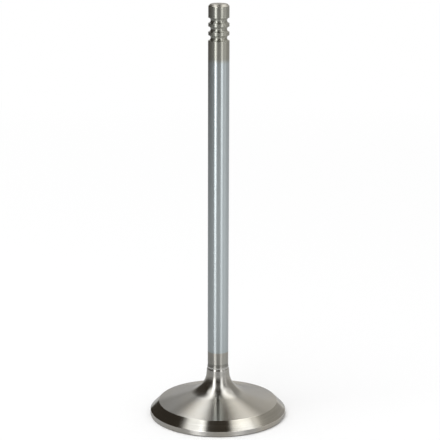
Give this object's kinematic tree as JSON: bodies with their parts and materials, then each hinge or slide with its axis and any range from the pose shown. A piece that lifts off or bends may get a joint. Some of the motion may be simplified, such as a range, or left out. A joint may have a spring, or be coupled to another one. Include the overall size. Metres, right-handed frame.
{
  "type": "engine valve",
  "caption": "Engine valve with a flat round head, conical seat, flared neck, long ground stem and keeper grooves below a chamfered tip.",
  "frame": {"origin": "centre of the combustion face, the flat face of the head that the valve stands on", "axes": "+Z along the stem from the head to the tip; X and Y are alike, as the valve is round"},
  "size_m": [0.0526, 0.0526, 0.16],
  "materials": {
    "valve_steel": "ground and turned steel with a hard chrome stem"
  },
  "bodies": {
    "root": {"valve": "valve_steel"}
  },
  "joints": []
}
